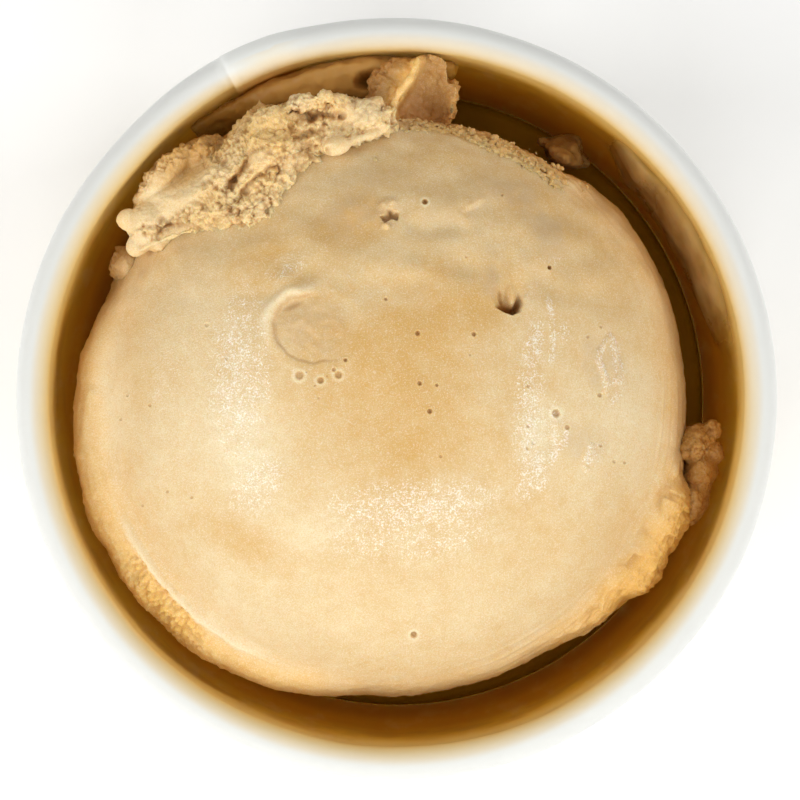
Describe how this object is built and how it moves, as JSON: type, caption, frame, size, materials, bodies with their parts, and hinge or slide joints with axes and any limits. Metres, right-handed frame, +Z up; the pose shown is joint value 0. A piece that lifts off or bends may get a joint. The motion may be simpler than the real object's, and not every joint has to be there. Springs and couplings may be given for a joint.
{
  "type": "gelato cup",
  "caption": "Small white paper cup with a rolled rim and a lapped side seam, holding a large smooth scoop of pale brown gelato with a torn, grainy crest along one side.",
  "frame": {"origin": "centre of the cup's foot, on the surface that it stands on", "axes": "+Z up out of the cup, along the cup's axis; the side seam faces the direction 117 degrees from +X towards +Y"},
  "size_m": [0.076, 0.076, 0.0595],
  "materials": {
    "white_paper": "satin",
    "base_paper": "satin",
    "gelato": "satin",
    "melted_film": "gloss"
  },
  "bodies": {
    "root": {"cup_sidewall": "white_paper", "cup_base": "base_paper", "gelato": "gelato", "wall_film": "melted_film"}
  },
  "joints": []
}
